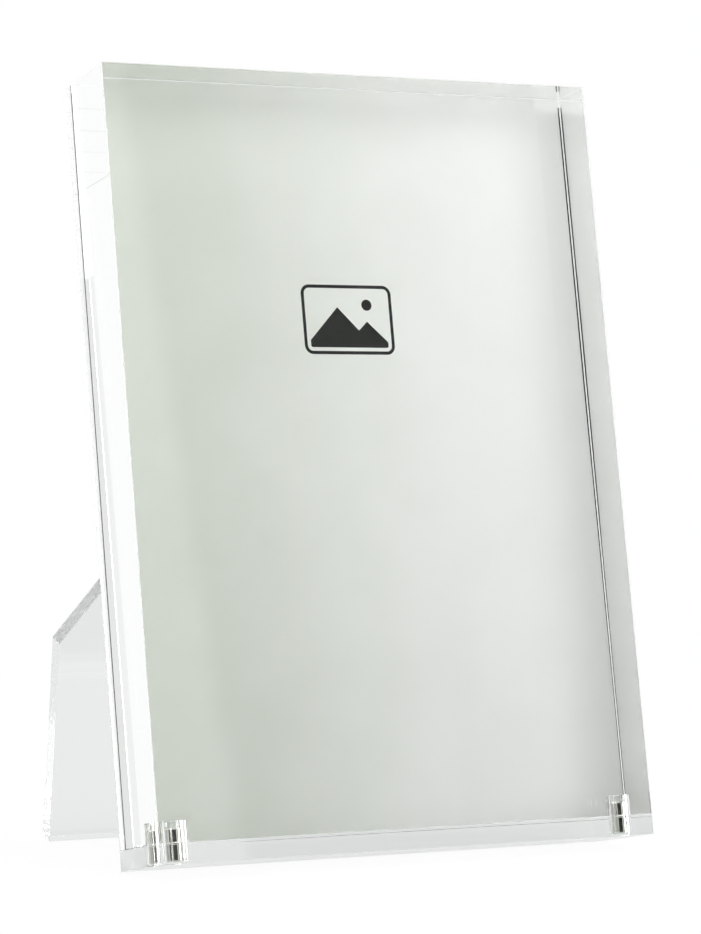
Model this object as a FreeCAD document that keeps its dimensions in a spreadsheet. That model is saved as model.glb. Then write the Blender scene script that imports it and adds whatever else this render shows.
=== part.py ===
import FreeCAD, Part
import Sketcher
import math
import os

# Acrylic block frame for a 5 x 7 in print, in millimetres.
#
# A thick clear block stands on two steel pins in front of a thin clear back plate. The print sits
# between the two. Plate, base bar and easel leg are cemented into one stand, which leans back on
# the rear edge of the base bar and on the foot of the leg.
#
# The row frame has X to the right, Y to the back and Z up. Its origin is on the table, in the
# middle of the frame's outer box. The block, plate, base bar, print and pins are drawn in a leaning
# frame, whose Y runs back square to the block's face and whose Z runs up along it.

SIZES = {
    # the front block
    "block_wide": 127.0,
    "block_high": 177.8,
    "block_deep": 19.05,
    # the back plate and the bar that block and plate stand on
    "plate_thick": 3.18,
    "base_high": 4.76,
    # the printed sheet between block and plate
    "print_thick": 0.5,
    "print_side_margin": 0.1,
    "print_top_margin": 0.15,
    # the two pins: radius, how far they stand up and go down, and their place in plan
    "pin_radius": 3.0,
    "pin_stand": 3.4,
    "pin_seat": 4.0,
    "pin_from_side": 6.0,
    "pin_from_front": 8.3,
    "pin_hole_deep": 5.0,
    "pin_tip": 0.3,
    # the easel leg, one heat-bent sheet
    "leg_thick": 4.76,
    "shoulder_inset": 1.8,
    "foot_inset": 6.0,
    "shoulder_high": 52.0,
    "neck_wide": 44.0,
    "neck_long": 2.0,
    "neck_round": 3.0,
    "flange_long": 26.0,
    "flange_round": 5.0,
    "bend_radius": 6.0,
    # the stance: how far block and leg lean, and how far back the leg's foot stands
    "lean_angle": 10.6,
    "leg_angle": 19.5,
    "foot_reach": 59.0,
    # fits and finish
    "slot_clearance": 0.1,
    "rest_clearance": 0.05,
    "pin_clearance": 0.08,
    "cement_film": 0.05,
    "edge_ease": 0.1,
    "overrun": 2.0,
}

# What follows from the sizes, as formulas of the same sheet.
DERIVED = {
    "slot_wide": "print_thick + 2 * slot_clearance",
    "frame_deep": "block_deep + slot_wide + plate_thick",
    "bend_angle": "lean_angle + leg_angle",
    # the sharp lower corners of base and leg lie this far below the table, so that the eased
    # edges touch it
    "heel_drop": "edge_ease * sin(lean_angle)",
    "foot_drop": "edge_ease * sin(leg_angle)",
    # how far the base reaches in front of its heel, and the leg behind it
    "front_reach": "frame_deep * cos(lean_angle) - heel_drop",
    "rear_reach": "foot_reach + leg_thick * cos(leg_angle) - foot_drop",
    "heel_y": "(front_reach - rear_reach) / 2",
    # the leg's front face meets the cement line on the plate this far up the leg
    "bend_up_leg": (
        "((foot_reach - cement_film * cos(lean_angle)) * cos(lean_angle)"
        " + (foot_drop - heel_drop - cement_film * sin(lean_angle)) * sin(lean_angle))"
        " / sin(bend_angle)"
    ),
    "bend_setback": "(bend_radius + leg_thick) * tan(bend_angle / 2)",
    "shoulder_half": "block_wide / 2 - shoulder_inset",
    "foot_half": "block_wide / 2 - foot_inset",
    "bend_start": "bend_up_leg - bend_setback",
    # the shoulders reach the neck a little below the bend
    "neck_high": "bend_start - neck_long",
    "leg_top": "bend_up_leg + flange_long",
}

doc = FreeCAD.newDocument("acrylic_block_frame")
sheet = doc.addObject("Spreadsheet::Sheet", "sizes")


def fill_sheet():
    """Write every driving size as plain text and every formula below them, with a word as alias."""
    rows = [(name, str(value)) for name, value in SIZES.items()]
    rows += [(name, "=" + formula) for name, formula in DERIVED.items()]
    for row, (name, text) in enumerate(rows, start=1):
        sheet.set("A%d" % row, name)
        sheet.set("B%d" % row, text)
        sheet.setAlias("B%d" % row, name)
    doc.recompute()


def size(name):
    """Return the present value of one named cell."""
    return float(sheet.get(name))


def new_body(label):
    """Add an empty body whose label is the name of its node."""
    body = doc.addObject("PartDesign::Body", label)
    body.Label = label
    return body


def new_sketch(body, name, role):
    """Add a sketch on the body's own origin plane of that role, such as XY_Plane."""
    sketch = body.newObject("Sketcher::SketchObject", name)
    plane = [part for part in body.Origin.OriginFeatures if part.Role == role][0]
    sketch.AttachmentSupport = [(plane, "")]
    sketch.MapMode = "FlatFace"
    return sketch


def bind(sketch, constraint, formula):
    """Add one driving constraint and tie its value to a formula of the sheet."""
    index = sketch.addConstraint(constraint)
    sketch.setExpression("Constraints[%d]" % index, formula)


def closed_outline(sketch, points):
    """Draw straight lines through the points, joined end to end and closed."""
    ends = points[1:] + points[:1]
    lines = [
        sketch.addGeometry(Part.LineSegment(FreeCAD.Vector(*start), FreeCAD.Vector(*end)))
        for start, end in zip(points, ends)
    ]
    for line, following in zip(lines, lines[1:] + lines[:1]):
        sketch.addConstraint(Sketcher.Constraint("Coincident", line, 2, following, 1))
    return lines


def centred_rectangle(sketch, wide, deep):
    """Draw a rectangle with one side on the sketch's first axis, centred on the second."""
    half, far = size_of(wide) / 2, size_of(deep)
    near, right, back, left = closed_outline(
        sketch, [(-half, 0), (half, 0), (half, far), (-half, far)]
    )
    for line in (near, back):
        sketch.addConstraint(Sketcher.Constraint("Horizontal", line))
    for line in (right, left):
        sketch.addConstraint(Sketcher.Constraint("Vertical", line))
    sketch.addConstraint(Sketcher.Constraint("Symmetric", near, 1, near, 2, -1, 1))
    bind(sketch, Sketcher.Constraint("DistanceX", near, 1, near, 2, 2 * half), wide)
    bind(sketch, Sketcher.Constraint("DistanceY", right, 1, right, 2, far), deep)


def size_of(formula):
    """Work out a formula of the sheet, for the first drawing of a sketch."""
    return float(sheet.evalExpression(formula.replace("sizes.", "")))


def pin_circles(sketch, radius):
    """Draw the two pin circles, one near each end and both as far back from the front face."""
    across = size("block_wide") / 2 - size("pin_from_side")
    back = size("pin_from_front")
    circles = [
        sketch.addGeometry(
            Part.Circle(FreeCAD.Vector(side * across, back), FreeCAD.Vector(0, 0, 1), size_of(radius))
        )
        for side in (-1, 1)
    ]
    left, right = circles
    sketch.addConstraint(Sketcher.Constraint("Symmetric", left, 3, right, 3, -2))
    sketch.addConstraint(Sketcher.Constraint("Equal", left, right))
    spread = "sizes.block_wide - 2 * sizes.pin_from_side"
    bind(sketch, Sketcher.Constraint("DistanceX", left, 3, right, 3, 2 * across), spread)
    bind(sketch, Sketcher.Constraint("DistanceY", -1, 1, left, 3, back), "sizes.pin_from_front")
    bind(sketch, Sketcher.Constraint("Radius", left, size_of(radius)), radius)


def pad(body, sketch, name, length, downwards=False):
    """Raise a solid from a sketch."""
    feature = body.newObject("PartDesign::Pad", name)
    feature.Profile = sketch
    feature.Reversed = downwards
    feature.setExpression("Length", length)
    doc.recompute()
    return feature


def pocket(body, sketch, name, depth, upwards=False):
    """Cut a sketch out of the body and make sure that material went."""
    before = body.Shape.Volume
    feature = body.newObject("PartDesign::Pocket", name)
    feature.Profile = sketch
    feature.Reversed = upwards
    feature.setExpression("Length", depth)
    doc.recompute()
    if not feature.Shape.Volume < before:
        raise RuntimeError(name + " cuts nothing")
    return feature


def ease_edges(body, feature, size_name="edge_ease"):
    """Break every sharp edge of the body so far with a small polished chamfer."""
    chamfer = body.newObject("PartDesign::Chamfer", body.Name + "_eased")
    chamfer.Base = (feature, [])
    chamfer.UseAllEdges = True
    chamfer.setExpression("Size", "sizes." + size_name)
    doc.recompute()
    return chamfer


def round_edges(body, feature, name, radius_name, chosen):
    """Round the edges of a feature that the chosen test picks out."""
    edges = [
        "Edge%d" % number
        for number, edge in enumerate(feature.Shape.Edges, start=1)
        if chosen(edge)
    ]
    fillet = body.newObject("PartDesign::Fillet", name)
    fillet.Base = (feature, edges)
    fillet.setExpression("Radius", "sizes." + radius_name)
    doc.recompute()
    return fillet


def lean(body, across, back, up):
    """Put a body's origin at a place in the leaning frame: across, back from the front, up."""
    body.Placement.Rotation = FreeCAD.Rotation(FreeCAD.Vector(-1, 0, 0), size("lean_angle"))
    behind_heel = "((%s) - sizes.frame_deep)" % back
    above_heel = "(%s)" % up
    body.setExpression("Placement.Rotation.Angle", "sizes.lean_angle")
    body.setExpression("Placement.Base.x", across)
    body.setExpression(
        "Placement.Base.y",
        "sizes.heel_y + %s * cos(sizes.lean_angle) + %s * sin(sizes.lean_angle)"
        % (behind_heel, above_heel),
    )
    body.setExpression(
        "Placement.Base.z",
        "%s * cos(sizes.lean_angle) - %s * sin(sizes.lean_angle) - sizes.heel_drop"
        % (above_heel, behind_heel),
    )


def front_block():
    """The thick clear block, with two blind holes in its lower face that drop over the pins."""
    body = new_body("front_block")
    outline = new_sketch(body, "block_outline", "XY_Plane")
    centred_rectangle(outline, "sizes.block_wide", "sizes.block_deep")
    raised = pad(body, outline, "block_slab", "sizes.block_high")
    ease_edges(body, raised)
    holes = new_sketch(body, "block_hole_plan", "XY_Plane")
    pin_circles(holes, "sizes.pin_radius + sizes.pin_clearance")
    pocket(body, holes, "block_pin_holes", "sizes.pin_hole_deep", upwards=True)
    lean(body, "0", "0", "sizes.base_high + sizes.rest_clearance")
    return body


def back_plate():
    """The thin clear plate behind the print, cemented upright on the rear of the base bar."""
    body = new_body("back_plate")
    outline = new_sketch(body, "plate_outline", "XY_Plane")
    centred_rectangle(outline, "sizes.block_wide", "sizes.plate_thick")
    raised = pad(body, outline, "plate_sheet", "sizes.block_high")
    ease_edges(body, raised)
    lean(
        body,
        "0",
        "sizes.frame_deep - sizes.plate_thick",
        "sizes.base_high + sizes.cement_film",
    )
    return body


def base_ledge():
    """The clear bar under block and plate, drilled from above for the lower half of the pins."""
    body = new_body("base_ledge")
    outline = new_sketch(body, "ledge_outline", "XY_Plane")
    centred_rectangle(outline, "sizes.block_wide", "sizes.frame_deep")
    raised = pad(body, outline, "ledge_bar", "sizes.base_high", downwards=True)
    ease_edges(body, raised)
    holes = new_sketch(body, "ledge_hole_plan", "XY_Plane")
    pin_circles(holes, "sizes.pin_radius + sizes.cement_film")
    pocket(body, holes, "ledge_pin_holes", "sizes.pin_seat + sizes.cement_film")
    lean(body, "0", "0", "sizes.base_high")
    return body


def photo_insert():
    """The printed sheet, a little smaller than the block, standing in the slot on the base bar."""
    body = new_body("photo_insert")
    outline = new_sketch(body, "insert_outline", "XY_Plane")
    wide = "sizes.block_wide - 2 * sizes.print_side_margin"
    centred_rectangle(outline, wide, "sizes.print_thick")
    pad(body, outline, "insert_sheet", "sizes.block_high - sizes.print_top_margin")
    lean(
        body,
        "0",
        "sizes.block_deep + sizes.slot_clearance",
        "sizes.base_high + sizes.rest_clearance",
    )
    return body


def locating_pin(label, side):
    """One plated steel pin with chamfered ends, cemented in the base and free in the block."""
    body = new_body(label)
    section = new_sketch(body, label + "_section", "XY_Plane")
    circle = section.addGeometry(
        Part.Circle(FreeCAD.Vector(), FreeCAD.Vector(0, 0, 1), size("pin_radius"))
    )
    section.addConstraint(Sketcher.Constraint("Coincident", circle, 3, -1, 1))
    bind(section, Sketcher.Constraint("Radius", circle, size("pin_radius")), "sizes.pin_radius")
    rod = pad(body, section, label + "_rod", "sizes.pin_seat + sizes.pin_stand")
    ease_edges(body, rod, "pin_tip")
    lean(
        body,
        "%d * (sizes.block_wide / 2 - sizes.pin_from_side)" % side,
        "sizes.pin_from_front",
        "sizes.base_high - sizes.pin_seat",
    )
    return body


def leg_profile(body):
    """Draw the bent sheet from the side: foot, leg, bend, flange, all of one thickness.

    The foot's front corner is the sketch's origin and the leg stands straight up from it. The flange
    turns back by the bend angle. Both bend arcs share one centre, and each runs smoothly into the
    straight faces beside it.
    """
    sketch = new_sketch(body, "leg_profile", "YZ_Plane")
    thick = size("leg_thick")
    turn = math.radians(size("bend_angle"))
    straight = size("bend_start")
    flange = size("flange_long") - size("bend_setback")
    inner = size("bend_radius")
    centre = FreeCAD.Vector(thick + inner, straight)
    along = FreeCAD.Vector(math.sin(turn), math.cos(turn))
    forward = FreeCAD.Vector(-math.cos(turn), math.sin(turn))
    outer_end = centre + forward * (thick + inner)
    inner_end = centre + forward * inner
    foot_front, foot_back = FreeCAD.Vector(), FreeCAD.Vector(thick, 0)
    bend_front, bend_back = FreeCAD.Vector(0, straight), FreeCAD.Vector(thick, straight)
    upward = FreeCAD.Vector(0, 0, 1)
    half_turn = math.pi
    leg_front = sketch.addGeometry(Part.LineSegment(foot_front, bend_front))
    outer_arc = sketch.addGeometry(
        Part.ArcOfCircle(Part.Circle(centre, upward, thick + inner), half_turn - turn, half_turn)
    )
    flange_front = sketch.addGeometry(Part.LineSegment(outer_end, outer_end + along * flange))
    flange_end = sketch.addGeometry(
        Part.LineSegment(outer_end + along * flange, inner_end + along * flange)
    )
    flange_back = sketch.addGeometry(Part.LineSegment(inner_end + along * flange, inner_end))
    inner_arc = sketch.addGeometry(
        Part.ArcOfCircle(Part.Circle(centre, upward, inner), half_turn - turn, half_turn)
    )
    leg_back = sketch.addGeometry(Part.LineSegment(bend_back, foot_back))
    foot = sketch.addGeometry(Part.LineSegment(foot_back, foot_front))
    for kind, first, first_end, second, second_end in (
        ("Tangent", leg_front, 2, outer_arc, 2),
        ("Tangent", outer_arc, 1, flange_front, 1),
        ("Coincident", flange_front, 2, flange_end, 1),
        ("Coincident", flange_end, 2, flange_back, 1),
        ("Tangent", flange_back, 2, inner_arc, 1),
        ("Tangent", inner_arc, 2, leg_back, 1),
        ("Coincident", leg_back, 2, foot, 1),
        ("Coincident", foot, 2, leg_front, 1),
        ("Coincident", inner_arc, 3, outer_arc, 3),
        ("Coincident", foot, 2, -1, 1),
    ):
        sketch.addConstraint(Sketcher.Constraint(kind, first, first_end, second, second_end))
    sketch.addConstraint(Sketcher.Constraint("Horizontal", foot))
    sketch.addConstraint(Sketcher.Constraint("Vertical", leg_front))
    sketch.addConstraint(Sketcher.Constraint("Perpendicular", flange_front, flange_end))
    bind(sketch, Sketcher.Constraint("DistanceX", foot, 2, foot, 1, thick), "sizes.leg_thick")
    bind(sketch, Sketcher.Constraint("Radius", inner_arc, inner), "sizes.bend_radius")
    bind(
        sketch,
        Sketcher.Constraint("DistanceY", leg_front, 1, leg_front, 2, straight),
        "sizes.bend_start",
    )
    bind(
        sketch,
        Sketcher.Constraint("Distance", flange_front, flange),
        "sizes.flange_long - sizes.bend_setback",
    )
    bind(
        sketch,
        Sketcher.Constraint("Angle", leg_front, 2, flange_front, 1, math.pi - turn),
        "180 - sizes.bend_angle",
    )
    return sketch


def leg_trim(body):
    """Draw what is cut from the right side of the sheet: taper, shoulder, and beside the neck."""
    sketch = new_sketch(body, "leg_trim", "XZ_Plane")
    spare = size("overrun")
    outside = size("shoulder_half") + 2 * spare
    neck = size("neck_wide") / 2
    points = [
        (size("foot_half"), 0),
        (size("shoulder_half"), size("shoulder_high")),
        (neck, size("neck_high")),
        (neck, size("leg_top") + spare),
        (outside, size("leg_top") + spare),
        (outside, -spare),
        (size("foot_half"), -spare),
    ]
    taper, shoulder, neck_side, top, outer_side, bottom, below_foot = closed_outline(sketch, points)
    for line in (neck_side, outer_side, below_foot):
        sketch.addConstraint(Sketcher.Constraint("Vertical", line))
    for line in (top, bottom):
        sketch.addConstraint(Sketcher.Constraint("Horizontal", line))
    sketch.addConstraint(Sketcher.Constraint("PointOnObject", taper, 1, -1))
    for kind, line, end, formula in (
        ("DistanceX", taper, 1, "sizes.foot_half"),
        ("DistanceX", shoulder, 1, "sizes.shoulder_half"),
        ("DistanceY", shoulder, 1, "sizes.shoulder_high"),
        ("DistanceX", neck_side, 1, "sizes.neck_wide / 2"),
        ("DistanceY", neck_side, 1, "sizes.neck_high"),
        ("DistanceX", outer_side, 1, "sizes.shoulder_half + 2 * sizes.overrun"),
        ("DistanceY", outer_side, 1, "sizes.leg_top + sizes.overrun"),
    ):
        bind(sketch, Sketcher.Constraint(kind, -1, 1, line, end, size_of(formula)), formula)
    bind(
        sketch,
        Sketcher.Constraint("DistanceY", bottom, 2, -1, 1, spare),
        "sizes.overrun",
    )
    return sketch


def crosses_sheet_at_neck(edge):
    """Tell an edge that runs through the leg's sheet, on one of the two sides of its neck."""
    crosses = abs(edge.Length - size("leg_thick")) < size("overrun") / 4
    beside_neck = abs(abs(edge.CenterOfMass.x) - size("neck_wide") / 2) < size("edge_ease")
    return crosses and beside_neck


def is_neck_corner(edge):
    """Tell the two inner corners where the shoulders meet the neck."""
    above_shoulder = edge.CenterOfMass.z - size("neck_high")
    return crosses_sheet_at_neck(edge) and abs(above_shoulder) < size("leg_thick")


def is_flange_corner(edge):
    """Tell the two outer corners of the flange's free end."""
    flange_reach = size("flange_long") * math.sin(math.radians(size("bend_angle")))
    return crosses_sheet_at_neck(edge) and edge.CenterOfMass.y > flange_reach


def easel_leg():
    """The broad leg behind the plate, cut from one sheet with shoulders, then bent at the neck."""
    body = new_body("easel_leg")
    profile = leg_profile(body)
    wide = "2 * (sizes.shoulder_half + sizes.overrun)"
    sheet_blank = body.newObject("PartDesign::Pad", "leg_blank")
    sheet_blank.Profile = profile
    sheet_blank.Midplane = True
    sheet_blank.setExpression("Length", wide)
    doc.recompute()
    trim = leg_trim(body)
    before = sheet_blank.Shape.Volume
    cut = body.newObject("PartDesign::Pocket", "leg_trimmed")
    cut.Profile = trim
    cut.Type = "ThroughAll"
    cut.Midplane = True
    doc.recompute()
    mirrored = body.newObject("PartDesign::Mirrored", "leg_both_sides")
    mirrored.Originals = [cut]
    middle = [part for part in body.Origin.OriginFeatures if part.Role == "YZ_Plane"][0]
    mirrored.MirrorPlane = (middle, [""])
    body.Tip = mirrored
    doc.recompute()
    if not mirrored.Shape.Volume < cut.Shape.Volume < before:
        raise RuntimeError("the leg's trim cuts nothing")
    necked = round_edges(body, mirrored, "neck_corners", "neck_round", is_neck_corner)
    rounded = round_edges(body, necked, "flange_corners", "flange_round", is_flange_corner)
    ease_edges(body, rounded)
    body.Placement.Rotation = FreeCAD.Rotation(FreeCAD.Vector(1, 0, 0), size("leg_angle"))
    body.setExpression("Placement.Rotation.Angle", "sizes.leg_angle")
    body.setExpression("Placement.Base.y", "sizes.heel_y + sizes.foot_reach")
    body.setExpression("Placement.Base.z", "-sizes.foot_drop")
    return body


def check(bodies):
    """Stop unless every object recomputed cleanly and every node is one valid solid."""
    for item in doc.Objects:
        if {"Invalid", "Error"} & set(item.State):
            raise RuntimeError("%s did not recompute: %s" % (item.Name, item.State))
    for body in bodies:
        shape = body.Shape
        if shape.isNull() or not shape.isValid() or len(shape.Solids) != 1:
            raise RuntimeError(body.Label + " is not one valid solid")


fill_sheet()
nodes = [
    front_block(),
    back_plate(),
    base_ledge(),
    photo_insert(),
    locating_pin("left_pin", -1),
    locating_pin("right_pin", 1),
    easel_leg(),
]
doc.recompute()
check(nodes)
os.makedirs("parts", exist_ok=True)
for node in nodes:
    node.Shape.exportStep(os.path.join("parts", node.Label + ".step"))
    box = node.Shape.BoundBox
    print(
        "%-13s volume %10.2f  X %8.3f %8.3f  Y %8.3f %8.3f  Z %8.3f %8.3f"
        % (node.Label, node.Shape.Volume, box.XMin, box.XMax, box.YMin, box.YMax, box.ZMin, box.ZMax)
    )
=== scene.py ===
# %% [markdown]
# # A clear acrylic block frame
# A thick clear block leans on a printed sheet, and both stand in front of a thin clear back plate
# with an easel leg. Four of the seven pieces are so clear that they are seen only by what they
# bend, mirror and cut off. The CAD pieces already have their true shape, so this lesson is about
# finishes and light: real refraction, true air gaps and a well-placed studio make the likeness.

# %% Load the imported model
import math

import bpy
import numpy as np
from mathutils import Matrix, Vector

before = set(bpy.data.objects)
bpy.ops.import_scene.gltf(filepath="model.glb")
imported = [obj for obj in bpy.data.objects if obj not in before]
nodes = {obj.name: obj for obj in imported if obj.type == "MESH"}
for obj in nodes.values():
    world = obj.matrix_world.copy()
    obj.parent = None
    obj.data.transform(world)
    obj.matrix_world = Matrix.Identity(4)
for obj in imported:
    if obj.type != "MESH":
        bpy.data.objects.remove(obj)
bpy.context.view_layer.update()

print("nodes:", ", ".join(sorted(nodes)))

# %% [markdown]
# ## The leaning frame
# Block, sheet, plate and base were made square to each other and then leaned back together about
# the heel, the lower back edge. Patterns are easier to place in that leaning frame: across, back
# from the block's face, and up along it. One matrix takes a point from there to the row frame, and
# its inverse goes into the Mapping nodes of the finishes.

# %% Leaning frame
MM = 0.001
LEAN = math.radians(10.6)
BLOCK_WIDE, BLOCK_HIGH, BLOCK_DEEP = 127.0 * MM, 177.8 * MM, 19.05 * MM
SLOT_DEEP, PLATE_DEEP = 0.7 * MM, 3.18 * MM
SEAT_HIGH = 4.81 * MM
FRAME_DEEP = BLOCK_DEEP + SLOT_DEEP + PLATE_DEEP
HEEL = Vector((0.0, -20.467 * MM, -0.018 * MM))

from_lean = (
    Matrix.Translation(HEEL)
    @ Matrix.Rotation(-LEAN, 4, "X")
    @ Matrix.Translation((0.0, -FRAME_DEEP, 0.0))
)
to_lean = from_lean.inverted()
block_corner = from_lean @ Vector((-BLOCK_WIDE / 2, 0.0, SEAT_HIGH + BLOCK_HIGH))
print("front top corner of the block:", [round(value / MM, 1) for value in block_corner], "mm")

# %% [markdown]
# ## Wiring shader nodes
# Every finish below is wired from nodes, so a few small helpers keep the wiring short. One adds a
# node and fills or links its inputs, one does arithmetic, and one makes a material and gives back
# its shader, whose plain values are set on its own sockets.


# %% Node helpers
def wire(tree, kind, inputs=None, **settings):
    """Add a shader node, set its properties, and fill each input with a value or a link."""
    node = tree.nodes.new("ShaderNode" + kind)
    for name, value in settings.items():
        setattr(node, name, value)
    for name, value in (inputs or {}).items():
        if isinstance(value, bpy.types.NodeSocket):
            tree.links.new(value, node.inputs[name])
        else:
            node.inputs[name].default_value = value
    return node


def calc(tree, operation, first, second=0.0):
    """One step of arithmetic on numbers or sockets."""
    return wire(tree, "Math", {0: first, 1: second}, operation=operation).outputs[0]


def ramp(tree, value, start, end, low=0.0, high=1.0, kind="SMOOTHSTEP"):
    """Carry a value from low at start to high at end, and keep it level outside."""
    inputs = {"Value": value, "From Min": start, "From Max": end, "To Min": low, "To Max": high}
    if start > end:
        inputs.update({"From Min": end, "From Max": start, "To Min": high, "To Max": low})
    return wire(tree, "MapRange", inputs, interpolation_type=kind).outputs[0]


def blend(tree, factor, first, second, kind="FLOAT"):
    """Mix two numbers or two colours by a factor."""
    node = wire(tree, "Mix", data_type=kind)
    ends = {"FLOAT": (2, 3, 0), "RGBA": (6, 7, 2)}[kind]
    for index, value in zip((0,) + ends[:2], (factor, first, second)):
        if isinstance(value, bpy.types.NodeSocket):
            tree.links.new(value, node.inputs[index])
        else:
            node.inputs[index].default_value = value
    return node.outputs[ends[2]]


def leaning_place(tree):
    """Object coordinates turned into the leaning frame: across, back, up."""
    place = wire(tree, "TexCoord").outputs["Object"]
    turned = {"Vector": place, "Location": to_lean.translation, "Rotation": to_lean.to_euler()}
    return wire(tree, "Mapping", turned, vector_type="POINT").outputs[0]


def new_finish(name, **values):
    """Make a material, set plain values on its shader, and return it with its node tree."""
    material = bpy.data.materials.new(name)
    material.use_nodes = True
    shader = material.node_tree.nodes["Principled BSDF"]
    for socket, value in values.items():
        shader.inputs[socket.replace("_", " ")].default_value = value
    return material, material.node_tree, shader


def dress(material, *names):
    """Give CAD nodes a material."""
    for name in names:
        nodes[name].data.materials.clear()
        nodes[name].data.materials.append(material)
    print("%s on %s" % (material.name, ", ".join(names)))


# %% [markdown]
# ## Polished acrylic
# Acrylic is as clear as glass and bends light a little less, with an index of 1.49. Cast faces are
# flat and bright. The block's sides are polished like its face, while the thin pieces keep a satin
# haze on their sawn side edges. A shared node group gives a hand-polished ripple as a Normal, from
# a slow noise field used as height, and as a Roughness the wiping marks, from a noise field drawn
# out along one direction, and the satin of the side edges, from how far a face looks sideways.

# %% Surface of polished acrylic, as a node group
RIPPLE_SIZE, RIPPLE_DEEP = 14.0 * MM, 0.3 * MM
MARK_WIDE, MARK_LONG = 0.5 * MM, 9.0 * MM
MARKS_FROM, MARKS_TO, MARK_ROUGH = 0.7, 0.9, 0.02
SIDE_FROM, SIDE_TO = 0.4, 0.6


def polished_surface():
    """Group from Place, Facing, Ripple and Satin to the Normal and Roughness of the surface."""
    group = bpy.data.node_groups.new("polished surface", "ShaderNodeTree")
    sockets = group.interface
    sockets.new_socket("Place", in_out="INPUT", socket_type="NodeSocketVector")
    sockets.new_socket("Facing", in_out="INPUT", socket_type="NodeSocketVector")
    sockets.new_socket("Ripple", in_out="INPUT", socket_type="NodeSocketFloat")
    sockets.new_socket("Satin", in_out="INPUT", socket_type="NodeSocketFloat")
    sockets.new_socket("Normal", in_out="OUTPUT", socket_type="NodeSocketVector")
    sockets.new_socket("Roughness", in_out="OUTPUT", socket_type="NodeSocketFloat")
    enter = group.nodes.new("NodeGroupInput")
    leave = group.nodes.new("NodeGroupOutput")
    place = enter.outputs["Place"]
    swell = wire(group, "TexNoise", {"Vector": place, "Scale": 1 / RIPPLE_SIZE, "Detail": 1.0})
    ripple = enter.outputs["Ripple"]
    waves = {"Height": swell.outputs[0], "Strength": ripple, "Distance": RIPPLE_DEEP}
    bump = wire(group, "Bump", waves)
    drawn = wire(group, "Mapping", {"Vector": place, "Scale": (1.0, 1.0, MARK_WIDE / MARK_LONG)})
    marks = wire(
        group, "TexNoise", {"Vector": drawn.outputs[0], "Scale": 1 / MARK_WIDE, "Detail": 1.0}
    )
    wiped = ramp(group, marks.outputs[0], MARKS_FROM, MARKS_TO, 0.0, MARK_ROUGH)
    facing = wire(group, "SeparateXYZ", {"Vector": enter.outputs["Facing"]})
    sideways = calc(group, "ABSOLUTE", facing.outputs["X"])
    sideways = ramp(group, sideways, SIDE_FROM, SIDE_TO)
    satin = calc(group, "MULTIPLY", sideways, enter.outputs["Satin"])
    group.links.new(bump.outputs[0], leave.inputs["Normal"])
    group.links.new(calc(group, "MAXIMUM", wiped, satin), leave.inputs["Roughness"])
    return group


polish = polished_surface()
print("node group:", polish.name)

# %% [markdown]
# One function makes a clear acrylic from that group. Each of the four clear pieces has its own,
# given by how strongly it ripples, how rough the satin of its side edges is, and its tint. All four
# tints are a very faint grey green, the base bar's the strongest. The back plate's and the leg's
# are also deepened as painted shade, to dim what is seen through them.

# %% Clear acrylic on the four clear pieces
ACRYLIC_INDEX = 1.49
CLEAR_PIECES = {
    "front_block": ("polished block", 0.0, 0.0, (0.985, 0.998, 0.99, 1.0)),
    # The plate's and the leg's deeper tints are partly painted shade, dimming what is seen through
    # them.
    "back_plate": ("cast sheet", 0.0, 0.05, (0.955, 0.968, 0.963, 1.0)),
    "easel_leg": ("bent sheet", 0.0, 0.16, (0.935, 0.952, 0.946, 1.0)),
    "base_ledge": ("hand polished bar", 0.12, 0.1, (0.90, 0.925, 0.912, 1.0)),
}


def clear_acrylic(name, ripple, satin, tint_and_painted_shade):
    """Make a clear acrylic with its ripple, its side-edge satin, and its tint, partly painted
    shade.
    """
    material, tree, shader = new_finish(
        name, Base_Color=tint_and_painted_shade, IOR=ACRYLIC_INDEX, Transmission_Weight=1.0
    )
    surface = wire(tree, "Group", node_tree=polish)
    tree.links.new(leaning_place(tree), surface.inputs["Place"])
    tree.links.new(wire(tree, "TexCoord").outputs["Normal"], surface.inputs["Facing"])
    surface.inputs["Ripple"].default_value = ripple
    surface.inputs["Satin"].default_value = satin
    tree.links.new(surface.outputs["Normal"], shader.inputs["Normal"])
    tree.links.new(surface.outputs["Roughness"], shader.inputs["Roughness"])
    return material


for name, finish in CLEAR_PIECES.items():
    dress(clear_acrylic(*finish), name)

# %% [markdown]
# ## The printed sheet
# The sheet is a satin print on a dark board, grey green at the left and fading to a paler grey. Its
# rise in brightness towards the right is painted light from the right, over the print's own tint. A
# hair inside each side runs a fine dark border, thinner below than above, which the block's edge
# doubles into two dark lines with a bright one between. That dark is partly painted shade of the
# slot. The border stops short of the top, where the corners are pale. The board's cut edges and its
# back are dark too, also partly as painted shade of the slot. All of it is painted by place in the
# leaning frame, so it needs no picture and no unwrapping.

# %% Sizes and tones of the sheet
CARD_GAP, CARD_THICK, CARD_DROP = 0.1 * MM, 0.5 * MM, 0.15 * MM
CARD_HALF = BLOCK_WIDE / 2 - CARD_GAP
CARD_TOP = SEAT_HIGH + BLOCK_HIGH - CARD_DROP
CARD_REAR = BLOCK_DEEP + CARD_GAP + CARD_THICK
# Dark skins on the back and cut edges and the dark side border: partly painted shade of the slot.
SKIN_BACK, SKIN_SIDE = 0.05 * MM, 0.01 * MM
BORDER_AND_SHADE_LOW, BORDER_AND_SHADE_HIGH, BORDER_AND_SHADE_TO = 0.27 * MM, 0.5 * MM, 0.08 * MM
WIDEN_FROM, WIDEN_TO = 30.0 * MM, 120.0 * MM
CORNER_HIGH, CORNER_WIDE = 1.9 * MM, 0.9 * MM
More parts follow.
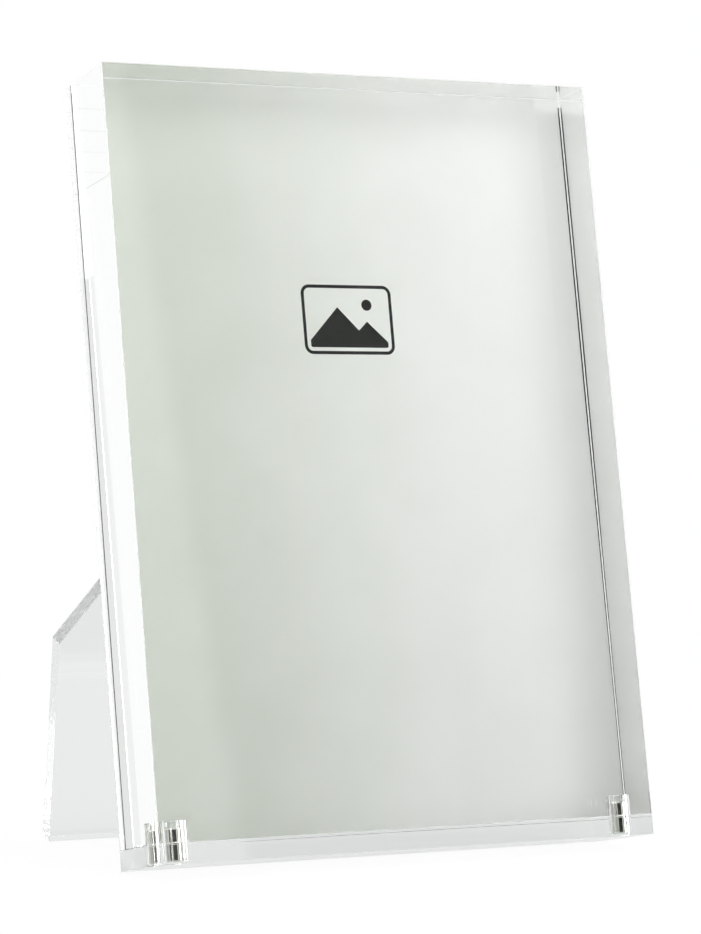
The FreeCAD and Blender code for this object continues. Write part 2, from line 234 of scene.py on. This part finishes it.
# The print's own tint runs grey green to paler grey; its rise in brightness to the right is painted
# light.
PRINT_LEFT_SHADED, PRINT_RIGHT_LIT = (0.70, 0.725, 0.655, 1.0), (0.95, 0.95, 0.93, 1.0)
TINT_AND_LIGHT_FROM, TINT_AND_LIGHT_TO = -60.0 * MM, 35.0 * MM
# Dark of the board, partly painted shade of the slot.
BOARD_AND_SHADE_TONE = (0.012, 0.013, 0.012, 1.0)
CORNER_TONE = (0.95, 0.955, 0.93, 1.0)
INK_TONE = (0.012, 0.013, 0.011, 1.0)
PRINT_INDEX = 1.25

card, tree, shader = new_finish("satin print", IOR=PRINT_INDEX)
place = leaning_place(tree)
parts = wire(tree, "SeparateXYZ", {"Vector": place})
across, back, up = parts.outputs
print("the sheet is %.1f mm wide" % (2 * CARD_HALF / MM))

# %% [markdown]
# The print's mark is a plain picture sign: an outlined rectangle with round corners, two hills and
# a sun. It is drawn with distance formulas. For the rectangle it is the distance to a rounded box,
# a hill is the height under a ridge that falls off evenly to both sides, and the sun is the
# distance to a point.

# %% Picture sign drawn with distances
SIGN_UP = 126.0 * MM
SIGN_HALF = (11.5 * MM, 8.0 * MM)
SIGN_ROUND, SIGN_LINE = 1.8 * MM, 0.8 * MM
SIGN_MARGIN = 1.6 * SIGN_LINE
HILLS = ((-2.6 * MM, 3.0 * MM, 1.05), (5.0 * MM, -0.4 * MM, 0.95))
SUN_PLACE, SUN_RADIUS = (5.2 * MM, 3.6 * MM), 1.35 * MM


def picture_sign(tree, across, up):
    """Mask of the sign: outline, or inside it under a hill, or in the sun."""
    height = calc(tree, "SUBTRACT", up, SIGN_UP)
    corner_x, corner_y = (
        calc(tree, "SUBTRACT", calc(tree, "ABSOLUTE", place), half - SIGN_ROUND)
        for place, half in zip((across, height), SIGN_HALF)
    )
    out_x, out_y = calc(tree, "MAXIMUM", corner_x), calc(tree, "MAXIMUM", corner_y)
    reach = wire(tree, "VectorMath", operation="LENGTH")
    tree.links.new(wire(tree, "CombineXYZ", {"X": out_x, "Y": out_y}).outputs[0], reach.inputs[0])
    inner = calc(tree, "MINIMUM", calc(tree, "MAXIMUM", corner_x, corner_y))
    edge = calc(tree, "SUBTRACT", calc(tree, "ADD", reach.outputs["Value"], inner), SIGN_ROUND)
    mask = calc(tree, "LESS_THAN", calc(tree, "ABSOLUTE", edge), SIGN_LINE / 2)
    inside = calc(tree, "LESS_THAN", edge, -SIGN_MARGIN)
    for peak_x, peak_y, slope in HILLS:
        away = calc(tree, "ABSOLUTE", calc(tree, "SUBTRACT", across, peak_x))
        ridge = calc(tree, "SUBTRACT", peak_y, calc(tree, "MULTIPLY", away, slope))
        under = calc(tree, "MULTIPLY", calc(tree, "LESS_THAN", height, ridge), inside)
        mask = calc(tree, "MAXIMUM", mask, under)
    spot = wire(tree, "CombineXYZ", {"X": across, "Y": height}).outputs[0]
    sun = wire(tree, "VectorMath", {0: spot, 1: (*SUN_PLACE, 0.0)}, operation="DISTANCE")
    return calc(
        tree, "MAXIMUM", mask, calc(tree, "LESS_THAN", sun.outputs["Value"], SUN_RADIUS)
    )


sign = picture_sign(tree, across, up)
print("picture sign %.0f x %.0f mm" % (2 * SIGN_HALF[0] / MM, 2 * SIGN_HALF[1] / MM))

# %% [markdown]
# The sheet's colour is laid in layers: the print with its slight mottle, its tint fading and its
# brightness rising to the right as painted light, the ink of the sign, the pale corners, and last
# the dark board wherever it lies bare, partly painted shade of the slot. A fine fibre grain drives
# the bump and, with the mottle, the sheen.

# %% Finish of the sheet
FIBRE_SIZE, MOTTLE_SIZE = 0.35 * MM, 16.0 * MM
FIBRE_SHARE, MOTTLE_SHARE = 0.35, 0.06
MOTTLE_FROM, MOTTLE_TO = 0.45, 0.9
SHEEN_FROM, SHEEN_TO = 0.3, 1.0
TOOTH, TOOTH_DEEP = 0.06, 0.02 * MM
SHEEN_SMOOTH, SHEEN_ROUGH = 0.36, 0.5

mottle = wire(tree, "TexNoise", {"Vector": place, "Scale": 1 / MOTTLE_SIZE, "Detail": 3.0})
fibre = wire(tree, "TexNoise", {"Vector": place, "Scale": 1 / FIBRE_SIZE, "Detail": 2.0})
fibres = calc(tree, "MULTIPLY", fibre.outputs[0], FIBRE_SHARE)
grain = calc(tree, "ADD", fibres, mottle.outputs[0])
# Left to right: the print's tint, brightening to the right as painted light from the right.
tint_and_painted_light = ramp(tree, across, TINT_AND_LIGHT_FROM, TINT_AND_LIGHT_TO)
uneven = ramp(tree, grain, MOTTLE_FROM, MOTTLE_TO, -MOTTLE_SHARE, MOTTLE_SHARE)
tint_and_painted_light = calc(tree, "ADD", tint_and_painted_light, uneven)
printed_with_light = blend(tree, tint_and_painted_light, PRINT_LEFT_SHADED, PRINT_RIGHT_LIT, kind="RGBA")
printed_with_light = blend(tree, sign, printed_with_light, INK_TONE, kind="RGBA")
from_middle = calc(tree, "ABSOLUTE", across)
cut_edge = calc(tree, "GREATER_THAN", from_middle, CARD_HALF - SKIN_SIDE)
inner_edge = ramp(
    tree, up, WIDEN_FROM, WIDEN_TO, CARD_HALF - BORDER_AND_SHADE_LOW, CARD_HALF - BORDER_AND_SHADE_HIGH
)
past_inner = calc(tree, "GREATER_THAN", from_middle, inner_edge)
before_outer = calc(tree, "LESS_THAN", from_middle, CARD_HALF - BORDER_AND_SHADE_TO)
at_side = calc(tree, "MAXIMUM", cut_edge, calc(tree, "MULTIPLY", past_inner, before_outer))
low_enough = calc(tree, "LESS_THAN", up, CARD_TOP - CORNER_HIGH)
at_corner = calc(tree, "GREATER_THAN", from_middle, CARD_HALF - CORNER_WIDE)
at_corner = calc(tree, "MULTIPLY", at_corner, calc(tree, "SUBTRACT", 1.0, low_enough))
rear_face = calc(tree, "GREATER_THAN", back, CARD_REAR - SKIN_BACK)
printed_with_light = blend(tree, at_corner, printed_with_light, CORNER_TONE, kind="RGBA")
# Dark board on the side border, cut edges and back, partly painted shade of the slot.
board_and_slot_shade = calc(tree, "MAXIMUM", calc(tree, "MULTIPLY", at_side, low_enough), rear_face)
tree.links.new(blend(tree, board_and_slot_shade, printed_with_light, BOARD_AND_SHADE_TONE, kind="RGBA"), shader.inputs["Base Color"])
sheen = ramp(tree, grain, SHEEN_FROM, SHEEN_TO, SHEEN_SMOOTH, SHEEN_ROUGH)
tree.links.new(sheen, shader.inputs["Roughness"])
tooth = {"Height": fibre.outputs[0], "Strength": TOOTH, "Distance": TOOTH_DEEP}
tree.links.new(wire(tree, "Bump", tooth).outputs[0], shader.inputs["Normal"])
dress(card, "photo_insert")

# %% [markdown]
# ## The locating pins
# The pins are bright steel rod. Turning left rings round them too fine to count, which show only
# as a slight unevenness of the gleam, so a noise field squeezed along the rod drives both the
# roughness and a very low bump.

# %% Turned steel
RING_PITCH, RING_LONG = 0.18 * MM, 6.0 * MM
STEEL_DULL, STEEL_BRIGHT = (0.66, 0.655, 0.61, 1.0), (0.74, 0.73, 0.68, 1.0)
TONE_FROM, TONE_TO = 0.3, 0.7
GLEAM_FROM, GLEAM_TO, GLEAM_SHARP, GLEAM_SOFT = 0.3, 0.75, 0.015, 0.04
RING_CUT, RING_DEEP = 0.05, 0.01 * MM

steel, tree, shader = new_finish("turned steel", Metallic=1.0)
place = leaning_place(tree)
drawn_out = RING_PITCH / RING_LONG
squeezed = wire(tree, "Mapping", {"Vector": place, "Scale": (drawn_out, drawn_out, 1.0)})
rings = wire(
    tree, "TexNoise", {"Vector": squeezed.outputs[0], "Scale": 1 / RING_PITCH, "Detail": 2.0}
)
brightness = ramp(tree, rings.outputs[0], TONE_FROM, TONE_TO)
tone = blend(tree, brightness, STEEL_DULL, STEEL_BRIGHT, kind="RGBA")
gleam = ramp(tree, rings.outputs[0], GLEAM_FROM, GLEAM_TO, GLEAM_SHARP, GLEAM_SOFT)
tree.links.new(tone, shader.inputs["Base Color"])
tree.links.new(gleam, shader.inputs["Roughness"])
cut = {"Height": rings.outputs[0], "Strength": RING_CUT, "Distance": RING_DEEP}
tree.links.new(wire(tree, "Bump", cut).outputs[0], shader.inputs["Normal"])
dress(steel, "left_pin", "right_pin")

# %% [markdown]
# ## Camera
# The camera stands low in front and to the left, level with the middle of the block, and takes in
# the frame with a long lens. Its place and turn were worked out from the block's corners in the
# photograph.

# %% Camera
PHOTO_HIGH = 934
CAMERA_PLACE = Vector((-354.5, -714.9, 100.2)) * MM
CAMERA_YAW, CAMERA_PITCH = math.radians(26.68), math.radians(-0.67)
FOCAL_PIXELS = 3335.0
SENSOR_HIGH = 36.0
CLIP_START = 10.0 * MM

camera_data = bpy.data.cameras.new("camera")
camera_data.sensor_fit = "VERTICAL"
camera_data.sensor_height = SENSOR_HIGH
camera_data.lens = SENSOR_HIGH * FOCAL_PIXELS / PHOTO_HIGH
camera_data.clip_start = CLIP_START
camera = bpy.data.objects.new("camera", camera_data)
camera.location = CAMERA_PLACE
camera.rotation_euler = (math.pi / 2 + CAMERA_PITCH, 0.0, -CAMERA_YAW)
bpy.context.scene.collection.objects.link(camera)
bpy.context.scene.camera = camera
print("lens %.0f mm, %.0f mm from the frame" % (camera_data.lens, CAMERA_PLACE.length / MM))

# %% [markdown]
# ## Studio
# Clear acrylic shows its surroundings, so the studio is painted round the frame as a world. It is a
# pale sweep with patches on it, laid one over another. Each is a window over two angles of the
# direction: azimuth, nothing straight in front and growing to the right, and elevation.
#
# - A grey side wall on the left tones the end of the base bar.
# - A dark curtain round the camera keeps glare off the face and gives the polished edges and the
#   pins their fine dark lines.
# - A white panel ends the curtain on the right: the block's left side looks to it through the whole
#   block. The dim gap in it is what the face mirrors.
# - A dark wing on the far right gives the pins one more stripe.
# - A low light in front reaches the print near the base.
# - A light ceiling in front has an opening that keeps the base bar's gleam out of the leg.
# - A narrow softbox stands to the right. Its light comes in slantwise through the face, so it can't
#   reach a strip of the print along the block's right edge, which stays a little darker, as does
#   its mirror image beside it.
#
# The camera sees plain white, and acrylic and steel see it behind the frame a little softer. Under
# one and the same light the covered print renders at about three fifths of the bare print's
# brightness, and the bare one would be white. So what meets a bare surface straight from the world
# is held at half, which no real light does. From the photograph's camera the print then keeps
# nearly the same tone when the block is lifted off. From the right the covered print is paler,
# partly because the face mirrors light there.

# %% Light levels and where each patch opens and closes, in degrees
SWEEP, BACKDROP, SIDE_WALL = 0.84, 0.9, 0.5
CURTAIN, PANEL, GAP, WING = 0.01, 1.01, 0.15, 0.15
LOW_LIGHT, CEILING, SOFTBOX = 3.6, 2.75, 9.9
BARE_SHARE = 0.5

EYE_LEVEL = (4.0, 8.0, 28.0, 34.0)
SIDE_WALL_ACROSS = (-135.0, -115.0, -75.0, -65.0)
CURTAIN_ACROSS = (-56.0, -48.0, 8.0, 12.0)
PANEL_ACROSS = (12.0, 15.0, 33.0, 37.0)
GAP_ACROSS = (24.9, 25.5, 31.0, 34.0)
WING_ACROSS = (60.0, 66.0, 84.0, 90.0)
LOW_ACROSS, LOW_HEIGHT = (-50.0, -30.0, 60.0, 75.0), (-25.0, -15.0, 2.0, 6.0)
OPENING_ACROSS, OPENING_HEIGHT = (26.0, 34.0, 54.0, 62.0), (40.0, 46.0, 66.0, 72.0)
SOFTBOX_ACROSS, SOFTBOX_HEIGHT = (44.0, 46.0, 62.0, 64.0), (-12.0, -8.0, 48.0, 54.0)
FRONT_ENDS, BACK_STARTS = (105.0, 90.0), (110.0, 125.0)
CEILING_FROM, OVERHEAD = (32.0, 46.0), (82.0, 89.0)

world = bpy.data.worlds.new("studio")
world.use_nodes = True
bpy.context.scene.world = world
print("sweep %.2f, panel %.2f, its gap %.2f, ceiling %.2f" % (SWEEP, PANEL, GAP, CEILING))

# %% [markdown]
# The direction of a ray becomes two angles, and every patch becomes a mask over them. A mask's soft
# edges keep the mirror images soft too.

# %% World painted by direction
TO_DEGREES = 180 / math.pi


def kinds_of_ray(tree):
    """Two masks: rays straight from the camera, and rays from acrylic or steel."""
    rays = wire(tree, "LightPath").outputs
    clear = calc(tree, "MAXIMUM", rays["Is Transmission Ray"], rays["Is Glossy Ray"])
    return rays["Is Camera Ray"], clear


def window(tree, value, open_from, open_to, close_from, close_to):
    """One between the two slopes, falling to nothing outside them."""
    opened = ramp(tree, value, open_from, open_to)
    return calc(tree, "MULTIPLY", opened, ramp(tree, value, close_from, close_to, 1.0, 0.0))


def without(tree, mask, hole):
    """A mask with another one cut out of it."""
    return calc(tree, "MULTIPLY", mask, calc(tree, "SUBTRACT", 1.0, hole))


tree = world.node_tree
heading = wire(tree, "SeparateXYZ", {"Vector": wire(tree, "TexCoord").outputs["Generated"]})
forward = calc(tree, "MULTIPLY", heading.outputs["Y"], -1.0)
azimuth = calc(tree, "ARCTAN2", heading.outputs["X"], forward)
azimuth = calc(tree, "MULTIPLY", azimuth, TO_DEGREES)
elevation = calc(tree, "ARCSINE", heading.outputs["Z"])
elevation = calc(tree, "MULTIPLY", elevation, TO_DEGREES)
turned_away = calc(tree, "ABSOLUTE", azimuth)


def patch(across, height=EYE_LEVEL):
    """Mask of one patch of the world, from its azimuths and elevations."""
    sideways, upright = window(tree, azimuth, *across), window(tree, elevation, *height)
    return calc(tree, "MULTIPLY", sideways, upright)


panel = window(tree, azimuth, *PANEL_ACROSS)
ceiling = calc(
    tree, "MAXIMUM", ramp(tree, turned_away, *FRONT_ENDS), ramp(tree, elevation, *OVERHEAD)
)
ceiling = calc(tree, "MULTIPLY", ceiling, ramp(tree, elevation, *CEILING_FROM))
patches = (
    (window(tree, azimuth, *SIDE_WALL_ACROSS), SIDE_WALL),
    (patch(CURTAIN_ACROSS), CURTAIN),
    (panel, PANEL),
    (patch(GAP_ACROSS), GAP),
    (patch(WING_ACROSS), WING),
    (without(tree, patch(LOW_ACROSS, LOW_HEIGHT), panel), LOW_LIGHT),
    (without(tree, ceiling, patch(OPENING_ACROSS, OPENING_HEIGHT)), CEILING),
    (patch(SOFTBOX_ACROSS, SOFTBOX_HEIGHT), SOFTBOX),
)

from_camera, from_clear = kinds_of_ray(tree)
behind = calc(tree, "MULTIPLY", from_clear, ramp(tree, turned_away, *BACK_STARTS))
level = blend(tree, behind, SWEEP, BACKDROP)
for mask, brightness in patches:
    level = blend(tree, mask, level, brightness)
level = calc(tree, "MULTIPLY", level, blend(tree, from_clear, BARE_SHARE, 1.0))
level = blend(tree, from_camera, level, 1.0)

background = tree.nodes["Background"]
background.inputs["Color"].default_value = (1.0, 1.0, 1.0, 1.0)
tree.links.new(level, background.inputs["Strength"])
print("patches laid over the sweep:", len(patches))

# %% [markdown]
# The table is a plain pale disc. The camera sees it as white, with the frame's faint shadow kept,
# and the acrylic and steel see a softer white in it. All other light meets a plain matt table.

# %% Table
TABLE_RADIUS, TABLE_CORNERS = 0.55, 96
TABLE_DARK, TABLE_PALE = (0.60, 0.60, 0.60, 1.0), (0.63, 0.63, 0.63, 1.0)
TABLE_MOTTLE = 40.0
GLOW_CAMERA, GLOW_CLEAR = 1.11, 0.98
SHARE_CAMERA, SHARE_CLEAR = 0.85, 0.8

turn = np.linspace(0.0, 2 * np.pi, TABLE_CORNERS, endpoint=False)
rim = np.column_stack((np.cos(turn), np.sin(turn), np.zeros_like(turn))) * TABLE_RADIUS
table_mesh = bpy.data.meshes.new("table")
table_mesh.from_pydata(rim.tolist(), [], [list(range(TABLE_CORNERS))])
table = bpy.data.objects.new("table", table_mesh)
bpy.context.scene.collection.objects.link(table)

material, tree, shader = new_finish("pale table", Roughness=1.0, Specular_IOR_Level=0.0)
place = wire(tree, "TexCoord").outputs["Object"]
mottle = wire(tree, "TexNoise", {"Vector": place, "Scale": TABLE_MOTTLE})
matt = blend(tree, mottle.outputs[0], TABLE_DARK, TABLE_PALE, kind="RGBA")
tree.links.new(matt, shader.inputs["Base Color"])
from_camera, from_clear = kinds_of_ray(tree)
share = blend(tree, from_camera, calc(tree, "MULTIPLY", from_clear, SHARE_CLEAR), SHARE_CAMERA)
glow = wire(tree, "Emission", {"Strength": blend(tree, from_camera, GLOW_CLEAR, GLOW_CAMERA)})
mixed = wire(tree, "MixShader", {0: share, 1: shader.outputs[0], 2: glow.outputs[0]})
tree.links.new(mixed.outputs[0], tree.nodes["Material Output"].inputs["Surface"])
table_mesh.materials.append(material)
print("table %.1f m across" % (2 * TABLE_RADIUS))

# %% [markdown]
# Light inside a clear plate is mirrored from face to face many times before it leaves at an edge,
# so the render is allowed as many bounces as that takes.

# %% Finish
CLEAR_BOUNCES, MATT_BOUNCES = 96, 4

scene = bpy.context.scene
scene.view_settings.view_transform = "Standard"
scene.cycles.max_bounces = CLEAR_BOUNCES
scene.cycles.transmission_bounces = CLEAR_BOUNCES
scene.cycles.glossy_bounces = CLEAR_BOUNCES
scene.cycles.diffuse_bounces = MATT_BOUNCES
